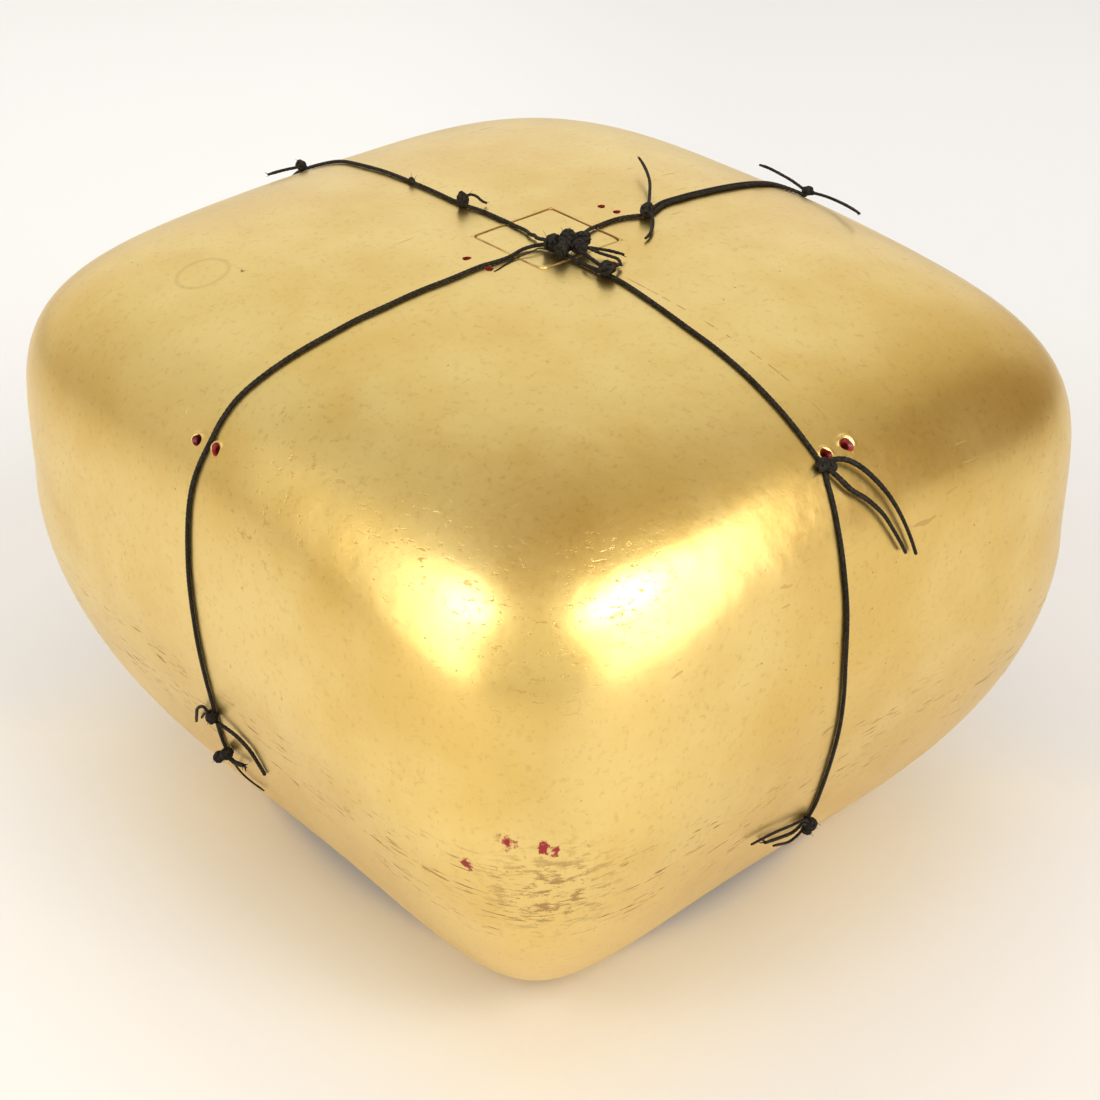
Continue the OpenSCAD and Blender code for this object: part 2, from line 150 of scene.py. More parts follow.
FRONT = [[-24, 0.025, 1.2], [-34, 0.019, 0.8], [-52, 0.019, 0.4], [-68, 0.027, 0.1],
         [-73, 0.042, 0], [-78, 0.054, 0], [-81.5, 0.064, 0], [-84, 0.087, 0], [-86, 0.108, 0],
         [-87, 0.131, 0], [-88, 0.152, 0], [-88.5, 0.174, 0], [-89.2, 0.198, 0],
         [-89.8, 0.225, 0], [-90.3, 0.256, 0], [-90.2, 0.283, 0], [-90, 0.312, 0],
         [-90.4, 0.340, 0], [-91, 0.374, 0], [-91.8, 0.436, 0], [-92.2, 0.478, 0],
         [-92, 0.520, 0], [-92.3, 0.590, 0], [-93, 0.650, 0], [-94, 0.693, 0]]
FRONT_LINK = [[-94, 0.693, 0], [-95.5, 0.730, 0], [-97, 0.765, 0], [-98.5, 0.8, 0]]
CROWN_BACK = [[50, 0.029, 1], [66, 0.038, 0.3], [75, 0.052, 0], [78, 0.066, 0], [76, 0.082, 0]]
BACK = [[76, 0.082, 0], [83, 0.101, 0], [85, 0.122, 0], [86, 0.145, 0], [87, 0.171, 0],
        [88, 0.201, 0], [88.5, 0.232, 0], [86, 0.258, 0]]
LEFT_DOWN = [[-179, 0.252, 0], [-180, 0.290, 0], [-180, 0.360, 0], [-180, 0.430, 0],
             [-181, 0.520, 0], [-180, 0.620, 0], [-180, 0.740, 0], [-179, 0.860, 0],
             [-179, 0.960, 0], [-179, 1, 0]]
BACK_DOWN = [[86, 0.258, 0], [89.5, 0.290, 0], [90, 0.360, 0], [90, 0.440, 0], [90, 0.520, 0],
             [91, 0.620, 0], [90, 0.740, 0], [90, 0.860, 0], [90, 0.960, 0], [90, 1, 0]]
# Single holes behind the two lowest knots, where the hidden cords come out
KNOT_HOLES = [[1.5, 0.828], [-98.5, 0.8]]
TAIL_RIGHT_UPPER = [[-5, 0.286, 1.2], [-3.2, 0.289, 1.6], [-1.7, 0.295, 1.8], [0, 0.309, 1.8],
                    [2, 0.335, 1.6], [3.5, 0.359, 1.4], [5.2, 0.390, 1.2], [7, 0.423, 1]]
TAIL_RIGHT_LOWER = [[-5, 0.293, 1.2], [-4.2, 0.305, 1.2], [-3, 0.322, 1.3], [-1.2, 0.337, 1.4],
                    [1, 0.360, 1.4], [2.7, 0.384, 1.2], [5, 0.416, 1]]
TAIL_FRONT = [[-93.7, 0.702, 1.2], [-91.7, 0.704, 0.7], [-89.7, 0.709, 0.3], [-87.7, 0.721, 0.2],
              [-87.2, 0.742, 0.1], [-87.2, 0.760, 0], [-87.2, 0.770, 0]]
KNOT_CENTRE = [[-17, 0.027, 2.4], [4, 0.031, 3.4], [-8, 0.033, 2.5], [-19, 0.038, 2.4],
               [22, 0.034, 2.5], [2, 0.041, 2.4]]
# Pairs of lacing holes, each [angle, way, spacing of the two, turn about the normal]
HOLE_PAIRS = [[2.5, 0.062, 7.6, 0], [93.5, 0.072, 6.7, 7], [-87, 0.060, 10.6, -5],
              [-1.5, 0.280, 8.8, 0], [90, 0.300, 9, 0], [180, 0.290, 9, 0], [-90.7, 0.317, 9.4, 5]]


def curve_through(points, per_span):
    """A Catmull-Rom curve through the points, with per_span steps from each to the next."""
    p = np.asarray(points, float)
    t = np.linspace(0, len(p) - 1, per_span * (len(p) - 1) + 1)
    padded = np.vstack([2 * p[0] - p[1], p, 2 * p[-1] - p[-2]])
    i = np.minimum(t.astype(int), len(p) - 2)
    f = (t - i)[:, None]
    p0, p1, p2, p3 = (padded[i + k] for k in range(4))
    return 0.5 * (2 * p1 + (p2 - p0) * f + (2 * p0 - 5 * p1 + 4 * p2 - p3) * f ** 2
                  + (3 * p1 - p0 - 3 * p2 + p3) * f ** 3)


def distances(line):
    """The distance along a line of each of its points."""
    return np.concatenate([[0], np.cumsum(np.linalg.norm(np.diff(line[:, :3], axis=0), axis=1))])


def smooth(points, step):
    """A curve through the points, resampled at an even step."""
    fine = curve_through(points, 24)
    s = distances(fine)
    even = np.linspace(0, s[-1], max(3, int(round(s[-1] / step)) + 1))
    return np.stack([np.interp(even, s, fine[:, k]) for k in range(fine.shape[1])], 1)


def headings(p):
    """The direction of a line at each of its points."""
    return unit(np.vstack([p[1:2] - p[:1], p[2:] - p[:-2], p[-1:] - p[-2:-1]]))


def route_line(route, shift=0.0, step=0.6):
    """The centre line of a cord that lies on the skin, in mm."""
    line, n = on_skin(curve_through(route, 12))
    if shift:
        line = line + shift * unit(np.cross(headings(line), n))
    return smooth(line, step)


def through_wall(place, low):
    """From low straight up inside the shell, round a bend and out through a knot's hole."""
    n, mouth = skin_normal(*place), skin(*place)
    bend, inner = mouth - 12 * n, mouth - 6 * n
    lead = bend - 10 * unit(bend - low)
    t = np.array([[0.25], [0.5], [0.75]])
    return np.vstack([low + np.append(t, [[1]], 0) * (lead - low),
                      (1 - t) ** 2 * lead + 2 * t * (1 - t) * bend + t * t * inner,
                      [inner, mouth - 3 * n, mouth, mouth + 1.5 * n]])


def under_line(down, rim, place):
    """Down a hidden face, under the rim and through the shell to a knot's hole."""
    edge = np.array([[f * rim[0], f * rim[1], rim[2] - CORD_REST] for f in (0.97, 0.93)])
    return smooth(np.vstack([route_line(down, step=5), edge, through_wall(place, edge[1])]), 0.6)


# ---------------------------------------------------------------- mesh helpers
def new_object(name, verts, faces, materials, smooth_shade=True, face_slots=None):
    """A mesh object from points in mm."""
    mesh = bpy.data.meshes.new(name)
    mesh.from_pydata([tuple(v) for v in np.asarray(verts) * MM], [], faces)
    for m in materials:
        mesh.materials.append(m)
    if face_slots is not None:
        mesh.polygons.foreach_set("material_index", face_slots)
    mesh.polygons.foreach_set("use_smooth", [smooth_shade] * len(mesh.polygons))
    mesh.update()
    o = bpy.data.objects.new(name, mesh)
    bpy.context.scene.collection.objects.link(o)
    return o


def carried_sides(along):
    """A side vector for each ring, carried along the line with the least twist."""
    v = np.array([0, 0, 1.0]) if abs(along[0][2]) < 0.8 else np.array([1.0, 0, 0])
    sides = []
    for t in along:
        v = v - (v @ t) * t
        v = v / np.linalg.norm(v)
        sides.append(v)
    return np.array(sides)


def tube(line, d, plies=3, pitch=5.0, sides=15, taper=None, groove=0.2, rough=0.0):
    """A twisted cord of plies round a line in mm, with its ends closed: (points, faces)."""
    along = headings(line)
    side = carried_sides(along)
    other = np.cross(along, side)
    s = distances(line)
    phi = np.linspace(0, 2 * math.pi, sides, endpoint=False)[None, :]
    lay = phi - 2 * math.pi * s[:, None] / pitch
    r = d / 2 * (1 - groove * (1 - np.abs(np.cos(plies * lay / 2)) ** 0.8))
    if taper is not None:
        r = r * np.interp(s / s[-1], [t[0] for t in taper], [t[1] for t in taper])[:, None]
    if rough:
        r = r * (1 + rough * (RNG.random(r.shape) - 0.5))
    rings = line[:, None] + r[..., None] * (np.cos(phi)[..., None] * side[:, None]
                                            + np.sin(phi)[..., None] * other[:, None])
    n, m = len(line), sides
    verts = np.vstack([rings.reshape(-1, 3), line[:1] - 0.25 * d * along[:1],
                       line[-1:] + 0.25 * d * along[-1:]])
    faces = [(i * m + k, i * m + (k + 1) % m, (i + 1) * m + (k + 1) % m, (i + 1) * m + k)
             for i in range(n - 1) for k in range(m)]
    faces += [(n * m, (k + 1) % m, k) for k in range(m)]
    faces += [(n * m + 1, (n - 1) * m + k, (n - 1) * m + (k + 1) % m) for k in range(m)]
    return verts, faces


def joined(parts):
    """Several (points, faces) as one."""
    verts, faces, at = [], [], 0
    for v, f in parts:
        verts.append(v)
        faces += [tuple(i + at for i in face) for face in f]
        at += len(v)
    return np.vstack(verts), faces


# ---------------------------------------------------------------- materials
class Shader:
    """A node tree builder: each call adds a node and returns its output."""

    def __init__(self, name):
        self.material = bpy.data.materials.new(name)
        self.material.use_nodes = True
        self.tree = self.material.node_tree
        self.bsdf = self.tree.nodes["Principled BSDF"]
        self.place = self.add("ShaderNodeTexCoord").outputs["Object"]

    def add(self, kind, props=(), **inputs):
        node = self.tree.nodes.new(kind)
        for key, value in dict(props).items():
            setattr(node, key, value)
        for key, value in inputs.items():
            self.put(node, key.replace("_", " "), value)
        return node

    def put(self, node, key, value):
        socket = node.inputs[int(key)] if key.isdigit() else node.inputs[key]
        if isinstance(value, bpy.types.NodeSocket):
            self.tree.links.new(value, socket)
        else:
            socket.default_value = value

    def math(self, what, a, b=0.0, clamp=False):
        node = self.add("ShaderNodeMath", {"operation": what, "use_clamp": clamp})
        self.put(node, "0", a)
        self.put(node, "1", b)
        return node.outputs[0]

    def product(self, first, *others):
        for other in others:
            first = self.math("MULTIPLY", first, other)
        return first

    def axes(self):
        split = self.add("ShaderNodeSeparateXYZ", Vector=self.place).outputs
        return split["X"], split["Y"], split["Z"]

    def along(self, direction):
        """How far a point lies in a level direction, in metres."""
        dot = self.add("ShaderNodeVectorMath", {"operation": "DOT_PRODUCT"})
        self.put(dot, "0", self.place)
        dot.inputs[1].default_value = direction
        return dot.outputs["Value"]

    def stretched(self, x, y, z):
        node = self.add("ShaderNodeMapping", Vector=self.place)
        node.inputs["Scale"].default_value = (x, y, z)
        return node.outputs[0]

    def noise(self, scale, detail=3.0, rough=0.5, vector=None, distort=0.0):
        node = self.add("ShaderNodeTexNoise", Vector=vector or self.place, Scale=scale,
                        Detail=detail, Roughness=rough, Distortion=distort)
        return node.outputs["Fac"]

    def cells(self, scale):
        return self.add("ShaderNodeTexVoronoi", Vector=self.place, Scale=scale)

    def band(self, value, low, high, to_low=0.0, to_high=1.0):
        node = self.add("ShaderNodeMapRange", {"interpolation_type": "SMOOTHSTEP"})
        for key, v in (("Value", value), ("From Min", low), ("From Max", high),
                       ("To Min", to_low), ("To Max", to_high)):
            self.put(node, key, v)
        return node.outputs[0]

    def mix(self, factor, a, b):
        node = self.add("ShaderNodeMix", {"data_type": "RGBA"})
        for index, value in ((0, factor), (6, a), (7, b)):
            if isinstance(value, bpy.types.NodeSocket):
                self.tree.links.new(value, node.inputs[index])
            else:
                node.inputs[index].default_value = value if index == 0 else (*value, 1)
        return node.outputs[2]

    def times(self, a, b):
        node = self.add("ShaderNodeMix", {"data_type": "RGBA", "blend_type": "MULTIPLY"})
        node.inputs[0].default_value = 1
        self.tree.links.new(a, node.inputs[6])
        self.tree.links.new(b, node.inputs[7])
        return node.outputs[2]

    def bump(self, height, strength, distance, normal=None):
        node = self.add("ShaderNodeBump", Height=height, Strength=strength, Distance=distance)
        if normal is not None:
            self.put(node, "Normal", normal)
        return node.outputs[0]

    def near(self, point, radius, soft=0.5, wobble=None):
        """1 within radius of a point (mm), fading out over soft times the radius."""
        gap = self.add("ShaderNodeVectorMath", {"operation": "DISTANCE"})
        self.put(gap, "0", self.place)
        gap.inputs[1].default_value = [MM * c for c in point]
        reach = gap.outputs["Value"]
        if wobble is not None:
            reach = self.math("ADD", reach, wobble)
        return self.band(reach, MM * radius * (1 - soft), MM * radius * (1 + soft), 1.0, 0.0)

    def any(self, values):
        """The strongest of several masks."""
        total = values[0]
        for v in values[1:]:
            total = self.math("MAXIMUM", total, v)
        return total


DEEP_GOLD, LIGHT_GOLD, DULL_GOLD = (0.775, 0.543, 0.163), (0.855, 0.655, 0.250), (0.45, 0.24, 0.06)
RED, BROWN = (0.28, 0.014, 0.017), (0.23, 0.092, 0.010)
# Marks on the shell, each (where, radius) in mm
FLAKES = (((127, -125, 109), 2.3), ((134.5, -118, 108), 1.6), ((137.5, -116, 107), 1.5),
          ((115.5, -130, 97), 2.0))
CHIPS = (((-53, -80.5, 208.5), 1.3), ((-113.5, -90, 196), 1.3))
BROW_CRACKS = (((118, -112, 176), 24), ((80, -122, 186), 18), ((132, -90, 182), 18))
WORN_PATCH, PITTED_PATCH = ((137, -116, 88), 17), ((33, -131, 186), 22)
RING_STAIN = (-64, -88, 206)
# The scored seam to the right of the plaque, in mm: its y, and where it starts to show
SEAM_Y, SEAM_X = 1.2, 38


def pores(s):
    """Small dark pores in the leaf, gathered where it is dusty."""
    spots = s.cells(260)
    pick = s.add("ShaderNodeSeparateColor", Color=spots.outputs["Color"]).outputs[0]
    return s.product(s.band(spots.outputs["Distance"], 0.05, 0.13, 1.0, 0.0),
                     s.band(pick, 0.86, 0.90), s.band(s.noise(38, 3, 0.6), 0.45, 0.62))


def gap_shade(s, near, far):
    """Painted shade beside the gap round the plaque, between two distances from its middle in mm."""
    x, y, z = s.axes()
    reach = s.math("MAXIMUM", s.math("ABSOLUTE", s.math("SUBTRACT", x, MM * PLAQUE_X)),
                   s.math("ABSOLUTE", s.math("SUBTRACT", y, MM * PLAQUE_Y)))
    return s.product(s.band(reach, MM * near, MM * (near + 0.2)),
                     s.band(reach, MM * (far - 0.3), MM * far, 1.0, 0.0),
                     s.band(z, MM * (SHELL_H - 4), MM * (SHELL_H - 3.5)),
                     s.band(s.noise(75, 3, 0.6), 0.36, 0.60, 0.10, 0.9))


def scored_seam_shade(s):
    """A broken line scored across the right of the crown and over its shoulder: painted shade for its
    groove, darkening the leaf along it.
    """
    x, y, z = s.axes()
    line = s.band(s.math("ABSOLUTE", s.math("SUBTRACT", y, MM * SEAM_Y)), 0.0001, 0.0004, 1.0, 0.0)
    return s.product(line, s.band(x, MM * SEAM_X, MM * (SEAM_X + 8)), s.band(z, 0.186, 0.194),
                     s.band(s.noise(1.0, 2, 0.6, s.stretched(190, 8, 8)), 0.46, 0.58))


def old_marks(s, wobble):
    """The marks of age and handling on the shell, each a mask as strong as the mark, and the painted shade
    of the scored seam's groove.
    """
    z = s.axes()[2]
    dashes = s.product(s.band(s.noise(1.0, 2, 0.5, s.stretched(110, 110, 1500)), 0.61, 0.65),
                       s.band(s.noise(1.0, 1, 0.5, s.stretched(42, 42, 160)), 0.50, 0.60),
                       s.band(z, 0.060, 0.070), s.band(z, 0.092, 0.108, 1.0, 0.0))
    hairlines = s.product(s.band(s.noise(1.0, 1, 0.5, s.stretched(900, 70, 300), 0.4), 0.735, 0.76),
                          s.band(s.noise(23, 2, 0.5), 0.5, 0.62))
    worn = s.product(s.near(*WORN_PATCH, 0.7),
                     s.band(s.noise(1.0, 5, 0.75, s.stretched(150, 150, 420)), 0.50, 0.60))
    cracks = s.product(s.band(s.noise(1.0, 3, 0.7, s.stretched(260, 260, 900), 0.6), 0.60, 0.66),
                       s.any([s.near(*crack, 0.8) for crack in BROW_CRACKS]))
    pitted = s.product(s.near(*PITTED_PATCH, 0.7), s.band(s.noise(330, 3, 0.6), 0.60, 0.68))
    chips = s.any([s.near(*chip, 0.3, wobble) for chip in CHIPS])
    ring = s.math("SUBTRACT", s.near(RING_STAIN, 9.5, 0.08), s.near(RING_STAIN, 8.2, 0.12))
    # the scored seam's mask is painted shade in its groove; the others are the shell's own marks
    return [chips] + [s.product(mask, strength) for mask, strength in (
        (dashes, 0.85), (worn, 0.75), (pitted, 0.6), (ring, 0.18), (scored_seam_shade(s), 0.7),
        (hairlines, 0.4), (cracks, 0.6))]


def gold_leaf(name, pale=0.0, marks=True):
    """Gold leaf over lacquer, with painted shade beside the plaque's gap; marks puts the shell's own marks
    on it.
    """
    s = Shader(name)
    broad = s.noise(11, 3, 0.55)
    patches = s.math("ADD", s.product(broad, 0.7), s.product(s.noise(45, 4, 0.6), 0.3))
    colour = s.mix(s.band(patches, 0.34 - pale, 0.66 - pale), DEEP_GOLD, LIGHT_GOLD)
    mottle = s.band(s.noise(420, 5, 0.7), 0.52, 0.72)
    colour = s.mix(s.product(mottle, 0.28), colour, DULL_GOLD)
    wear_and_shade = s.product(pores(s), 0.75)
    if marks:
        wobble = s.product(s.math("SUBTRACT", s.noise(300, 4, 0.7), 0.5), 0.010)
        # painted shade beside the plaque's gap joins the shell's real marks and pores here
        wear_and_shade = s.any([wear_and_shade, gap_shade(s, 17.15, 17.85)] + old_marks(s, wobble))
        flakes = s.any([s.near(*flake, 0.3, wobble) for flake in FLAKES])
        colour = s.mix(flakes, s.mix(wear_and_shade, colour, BROWN), RED)
        wear_and_shade = s.math("MAXIMUM", wear_and_shade, flakes)
    else:
        # painted shade along the plaque's own edge by the gap
        wear_and_shade = s.math("MAXIMUM", wear_and_shade, gap_shade(s, 16.45, PLAQUE_SIDE))
        colour = s.mix(wear_and_shade, colour, BROWN)
    grain = s.product(s.math("SUBTRACT", s.noise(700, 3, 0.6), 0.5), 0.09)
    uneven = s.product(s.math("SUBTRACT", broad, 0.5), 0.10)
    s.put(s.bsdf, "Base Color", colour)
    s.put(s.bsdf, "Metallic", s.band(wear_and_shade, 0.1, 1.0, 1.0, 0.3))
    s.put(s.bsdf, "Roughness", s.math("ADD", s.math("ADD", grain, uneven),
                                      s.band(wear_and_shade, 0.0, 1.0, 0.31, 0.55), True))
    fine = s.bump(s.noise(240, 4, 0.6), 0.25, 0.0002)
    wavy = s.bump(s.noise(26, 3, 0.5), 0.5, 0.0016, fine)
    s.put(s.bsdf, "Normal", s.bump(s.math("SUBTRACT", 1.0, wear_and_shade), 0.5, 0.00012, wavy))
    return s.material


def red_lacquer():
    s = Shader("red_lacquer")
    tone = s.band(s.noise(60, 4, 0.6), 0.35, 0.7)
    s.put(s.bsdf, "Base Color", s.mix(tone, (0.13, 0.008, 0.007), (0.30, 0.022, 0.015)))
    s.put(s.bsdf, "Roughness", s.band(s.noise(120, 3), 0.3, 0.7, 0.25, 0.45))
    s.put(s.bsdf, "Normal", s.bump(s.noise(90, 4, 0.6), 0.4, 0.0006))
    s.bsdf.inputs["Coat Weight"].default_value = 0.3
    return s.material


def waxed_cord():
    s = Shader("waxed_cord")
    tone = s.band(s.noise(900, 4, 0.7), 0.35, 0.75)
    colour = s.mix(tone, (0.0035, 0.0028, 0.0020), (0.030, 0.023, 0.016))
    s.put(s.bsdf, "Base Color", colour)
    s.put(s.bsdf, "Roughness", s.band(s.noise(1500, 3), 0.3, 0.7, 0.55, 0.8))
    s.put(s.bsdf, "Normal", s.bump(s.noise(2600, 4, 0.7), 0.6, 0.00012))
    s.bsdf.inputs["Specular IOR Level"].default_value = 0.18
    return s.material


GOLD = gold_leaf("gold_leaf")
PALE_GOLD = gold_leaf("gold_leaf_pale", 0.05, False)
LACQUER = red_lacquer()
CORD = waxed_cord()


# ---------------------------------------------------------------- cords
def cord_piece(name, line, node, far_end="knot", lay="taut", **look):
    """A length of cord that stands for a CAD node, which it hides."""
    verts, faces = tube(line, TWIST_D, **look)
    o = new_object(name, verts, faces, [CORD])
    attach(o, "root")
    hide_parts(node)
    return o


for name, route in (("cord_left", LEFT), ("cord_right", RIGHT), ("cord_right_side", RIGHT_SIDE),
                    ("cord_front", FRONT), ("cord_crown_left", CROWN_LEFT),
                    ("cord_crown_back", CROWN_BACK), ("cord_front_link", FRONT_LINK)):
    cord_piece(name, route_line(route), name)
cord_piece("cord_crown_right_a", route_line(CROWN_RIGHT_NEAR), "cord_crown_right")
cord_piece("cord_crown_right_b", route_line(CROWN_RIGHT_FAR), "cord_crown_right")
for mark, side in (("a", -0.5), ("b", 0.5)):
    cord_piece(f"cord_back_{mark}", route_line(BACK, side * STRAND_GAP), "cord_back")

cord_piece("cord_left_under", under_line(LEFT_DOWN, skin(180, 1), KNOT_HOLES[0]), "cord_left_under")
cord_piece("cord_back_under", under_line(BACK_DOWN, skin(90, 1), KNOT_HOLES[1]), "cord_back_under")

# flattened and wide at the knot, thin at the end
FLAT_TAIL = [(0, 1.25), (0.15, 1.35), (0.45, 1.15), (0.7, 0.92), (1, 0.85)]
for name, route in (("tail_right_upper", TAIL_RIGHT_UPPER), ("tail_right_lower", TAIL_RIGHT_LOWER)):
    cord_piece(name, route_line(route), name, "bare", "hanging", taper=FLAT_TAIL)
cord_piece("tail_front", route_line(TAIL_FRONT), "tail_front", "bare", "hanging")


# ---------------------------------------------------------------- knots
def tangle(centre, u, n, radii, d=CORD_D, loops=4.0, spread=1.0, seed=0):
    """Cord wound round and round a lump, its half sizes given along u, across and along n."""
    rng = np.random.default_rng(seed)
    v = np.cross(n, u)
    size = np.maximum(np.array(radii) - d / 2, 0.35)
    t = np.linspace(0, 1, int(46 * loops))
    swing = spread * np.sin(2 * math.pi * (0.37 * t * loops + rng.uniform(0, 1)))
    swing = swing + 0.35 * np.sin(2 * math.pi * (1.3 * t * loops / 2 + rng.uniform(0, 1)))
    lean = rng.uniform(0, 2 * math.pi) + 2.2 * t * loops
    axis = unit(np.stack([np.cos(swing), np.sin(swing) * np.cos(lean), np.sin(swing) * np.sin(lean)], -1))
    first = unit(np.cross(axis, [0.13, 0.21, 1.0]))
    second = np.cross(axis, first)
    phase = 2 * math.pi * loops * t[:, None]
    swell = 1 + 0.10 * np.sin(2 * math.pi * (1.7 * t[:, None] * loops + rng.uniform(0, 1)))
    ball = (np.cos(phase) * first + np.sin(phase) * second) * swell * size
    ball = ball + axis * size * 0.25 * np.sin(0.5 * phase + rng.uniform(0, 6))
    line = smooth(centre + ball[:, :1] * u + ball[:, 1:2] * v + ball[:, 2:] * n, 0.45)
    parts = [tube(line, d * 0.94, sides=12, pitch=3.6, groove=0.26, rough=0.14,
                  taper=[(0, 0.5), (0.03, 1), (0.97, 1), (1, 0.5)])]
    for _ in range(5):
        root = line[rng.integers(len(line))]
        out = unit(unit(root - centre) + 0.7 * rng.normal(size=3))
        parts.append(fibre(root, out, rng.uniform(1.4, 2.8), 0.16, rng))
    parts.append(core(centre, (u, v, n), 0.96 * size + 0.1, rng))
    return parts


def core(centre, axes, half, rng, rows=10, cols=16):
    """The lumpy inside of a wound knot, so that no light shows between its turns."""
    down, turn = np.meshgrid(np.linspace(0.15, math.pi - 0.15, rows),
                             np.linspace(0, 2 * math.pi, cols, endpoint=False), indexing="ij")
    ball = np.stack([np.sin(down) * np.cos(turn), np.sin(down) * np.sin(turn), np.cos(down)], -1)
    ball = ball * half * (1 + 0.12 * (rng.random((rows, cols, 1)) - 0.5))
    pts = centre + ball.reshape(-1, 3) @ np.array(axes)
    f = [(i * cols + k, (i + 1) * cols + k, (i + 1) * cols + (k + 1) % cols, i * cols + (k + 1) % cols)
         for i in range(rows - 1) for k in range(cols)]
    return pts, f + [tuple(range(cols)), tuple(range(rows * cols - 1, (rows - 1) * cols - 1, -1))]


def fibre(root, out, length, d, rng):
    """A bowed hair of cord that stands out from a point."""
    t = np.linspace(0, 1, 7)[:, None]
    bow = 0.3 * length * rng.normal(size=3)
    return tube(root + out * length * t + bow * t ** 2, d, plies=2, sides=5, pitch=9,
                taper=[(0, 1), (0.7, 0.85), (1, 0.4)])


def frayed(line, d=CORD_D, hairs=6, reach=4.0, seed=0):
    """A tail whose end opens into its fibres."""
    rng = np.random.default_rng(seed)
    parts = [tube(line, 0.92 * d, sides=12, pitch=4.5, taper=[(0, 1), (0.85, 1), (1, 0.75)],
                  rough=0.10)]
    end, along = line[-1], headings(line)[-1]
    for _ in range(hairs):
        lean = unit(along + 0.35 * rng.normal(size=3))
        root = end - 0.8 * along + 0.2 * d * rng.normal(size=3)
        parts.append(fibre(root, lean, reach * rng.uniform(0.5, 1.0), d * rng.uniform(0.2, 0.36), rng))
    return parts


def knot_piece(name, parts):
    """The piece that stands for a CAD knot of the same name."""
    verts, faces = joined(parts)
    o = new_object(name, verts, faces, [CORD])
    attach(o, "root")
    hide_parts(name)
    return o


def at(place):
    """The point and normal at one place [angle, way, lift]."""
    p, n = on_skin([place])
    return p[0], n[0]


def towards(centre, n, other):
    """The direction along the skin from a point towards another."""
    u = other - centre
    return unit(u - (u @ n) * n)


def simple_knot(name, place, ahead, radii, tails, seed, loops=4.0, extra=()):
    """A wound knot; tails are (route, diameter, hairs, reach), extra are further lumps."""
    centre, n = at(place)
    parts = tangle(centre, towards(centre, n, at(ahead)[0]), n, radii, loops=loops, seed=seed)
    for k, (lump, half) in enumerate(extra):
        c, m = at(lump)
        parts += tangle(c, towards(c, m, centre), m, half, loops=3, seed=seed + 31 + k)
    for k, (route, d, hairs, reach) in enumerate(tails):
        parts += frayed(route_line(route, step=0.6), d, hairs, reach, seed + 10 * k)
    return knot_piece(name, parts)


simple_knot("knot_crown_left", [-177, 0.072, 1.9], [-179, 0.098, 1.9], (2.5, 2.1, 2.9),
            [([[-178, 0.072, 2.2], [-182, 0.071, 3], [-184.5, 0.068, 2.5], [-186, 0.065, 1.3],
               [-188.5, 0.063, 0.4]], 1.1, 3, 1.6)], 1)
simple_knot("knot_crown_right", [-5, 0.070, 1.9], [-4, 0.084, 1.9], (3.6, 2.6, 2.7),
            [([[-4, 0.070, 2], [1, 0.071, 1.8], [8, 0.068, 0.8]], 1.3, 5, 1.8),
             ([[-8, 0.066, 1.2], [-10, 0.060, 1.2], [-11, 0.055, 0.8]], 1.0, 4, 1.6)], 2, 5)
simple_knot("knot_crown_back", [76, 0.082, 1.9], [83, 0.101, 1.9], (3.2, 2.3, 2.5),
            [([[77, 0.083, 2], [88, 0.099, 2.5], [98, 0.117, 3], [108, 0.135, 4]], 1.25, 2, 1.2),
             ([[75, 0.081, 2], [68, 0.077, 1.4], [57, 0.068, 0.6], [47, 0.061, 0.4]], 1.3, 2, 1.2)], 3, 5)
simple_knot("knot_left_edge", [-179, 0.252, 1.8], [-181, 0.238, 1.8], (2.6, 2.1, 2.3),
            [([[-179, 0.252, 1.2], [-176, 0.257, 2], [-173.5, 0.265, 2.5]], 1.3, 3, 1.6)], 4)
simple_knot("knot_right_shoulder", [-5.4, 0.288, 1.2], [-5.5, 0.259, 1.2], (2.7, 2.4, 1.7), [], 5, 5,
            [([-4.4, 0.291, 1.1], (2.8, 2.2, 1.6))])
simple_knot("knot_right_rim", [1.5, 0.828, 1.9], [0.5, 0.790, 1.9], (2.6, 2.4, 2.4),
            [([[1, 0.824, 1.5], [-1.2, 0.805, 1.2], [-5.5, 0.789, 1.2], [-10.2, 0.769, 1.1],
               [-14.8, 0.752, 1]], 1.1, 1, 1),
             ([[1, 0.830, 1.5], [-0.8, 0.816, 1.2], [-2.2, 0.829, 1.2], [-6.2, 0.813, 1.1],
               [-10.5, 0.789, 1]], 1.35, 7, 3.0),
             ([[1.5, 0.842, 1.2], [1.8, 0.867, 1.2], [0, 0.872, 1.2], [-6.2, 0.833, 1.2]], 1.1, 2, 1)],
            6, 4.5, [([2.2, 0.846, 2.0], (2.4, 2.2, 2.1))])
simple_knot("knot_back_edge", [86, 0.258, 1.8], [88.5, 0.232, 1.8], (3.0, 2.0, 2.0),
            [([[86, 0.257, 1.5], [89, 0.251, 3], [91.5, 0.240, 4], [91.5, 0.218, 5]], 1.25, 1, 1),
             ([[86, 0.258, 1.5], [82.5, 0.256, 2.5], [77, 0.243, 3], [69.5, 0.222, 3.5]], 1.25, 1, 1)], 7)
simple_knot("knot_front_side", [-94, 0.693, 1.6], [-93, 0.650, 1.6], (2.9, 2.2, 2.2),
            [([[-94, 0.688, 1.9], [-94.2, 0.672, 2.5], [-96.5, 0.689, 2.5], [-99, 0.719, 1.9],
               [-102, 0.752, 0.9]], 1.25, 2, 1.2),
             ([[-94.5, 0.690, 1.2], [-96.5, 0.704, 1.2], [-99, 0.728, 0.8]], 1.0, 2, 1)], 8, 5)
